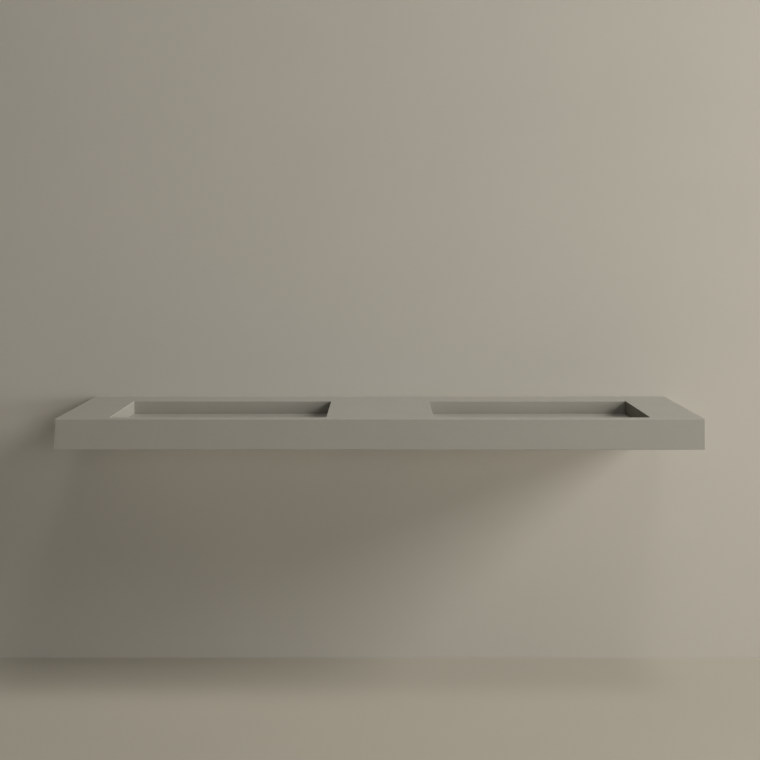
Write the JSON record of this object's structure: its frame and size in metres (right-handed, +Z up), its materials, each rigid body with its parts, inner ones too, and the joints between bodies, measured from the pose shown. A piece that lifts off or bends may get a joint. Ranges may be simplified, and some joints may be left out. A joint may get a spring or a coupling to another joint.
{
  "type": "vanity top with double sink",
  "caption": "Wall-hung solid-surface vanity top with rectangular sunken basins, push-open wastes and concealed steel wall brackets.",
  "frame": {"origin": "middle of the deck's upper rear edge, on the wall plane and level with the deck's upper face", "axes": "+X to the right seen from the front, +Y from the front into the wall, +Z up"},
  "size_m": [1.8, 0.48, 0.112],
  "materials": {
    "solid_surface": "matte sanded, grey-beige mineral-filled acrylic",
    "chrome_plate": "polished chrome plate on brass",
    "brass": "turned brass",
    "black_rubber": "moulded black rubber",
    "white_nylon": "moulded white nylon",
    "spring_steel": "drawn stainless wire",
    "bracket_coat": "dark grey powder coat on welded steel",
    "zinc_plate": "bright zinc plate"
  },
  "bodies": {
    "top": {"batten_inserts": "brass", "bracket_screws": "zinc_plate", "bracket_washers": "zinc_plate", "deck_panel": "solid_surface", "front_apron": "solid_surface", "left_backnut": "brass", "left_basin_floor": "solid_surface", "left_basin_front_wall": "solid_surface", "left_basin_inner_wall": "solid_surface", "left_basin_outer_wall": "solid_surface", "left_basin_rear_wall": "solid_surface", "left_cartridge_post": "brass", "left_end_apron": "solid_surface", "left_flange_gasket": "black_rubber", "left_inner_batten": "solid_surface", "left_inner_bracket": "bracket_coat", "left_outer_batten": "solid_surface", "left_outer_bracket": "bracket_coat", "left_plunger_spring": "spring_steel", "left_slip_washer": "white_nylon", "left_under_washer": "black_rubber", "left_waste_body": "chrome_plate", "right_backnut": "brass", "right_basin_floor": "solid_surface", "right_basin_front_wall": "solid_surface", "right_basin_inner_wall": "solid_surface", "right_basin_outer_wall": "solid_surface", "right_basin_rear_wall": "solid_surface", "right_cartridge_post": "brass", "right_end_apron": "solid_surface", "right_flange_gasket": "black_rubber", "right_inner_batten": "solid_surface", "right_inner_bracket": "bracket_coat", "right_outer_batten": "solid_surface", "right_outer_bracket": "bracket_coat", "right_plunger_spring": "spring_steel", "right_slip_washer": "white_nylon", "right_under_washer": "black_rubber", "right_waste_body": "chrome_plate"},
    "left_plug": {"left_plunger": "brass", "left_plug_seal": "black_rubber", "left_plug_cap": "chrome_plate"},
    "right_plug": {"right_plunger": "brass", "right_plug_seal": "black_rubber", "right_plug_cap": "chrome_plate"}
  },
  "joints": [
    {"name": "left_plug_press", "type": "slide", "parent": "top", "child": "left_plug", "axis": [0, 0, 1], "range_m": [-0.008, 0], "stiffness_N_per_m": 400, "springref_m": 0.006, "deforming": ["left_plunger_spring"]},
    {"name": "right_plug_press", "type": "slide", "parent": "top", "child": "right_plug", "axis": [0, 0, 1], "range_m": [-0.008, 0], "stiffness_N_per_m": 400, "springref_m": 0.006, "deforming": ["right_plunger_spring"]}
  ]
}
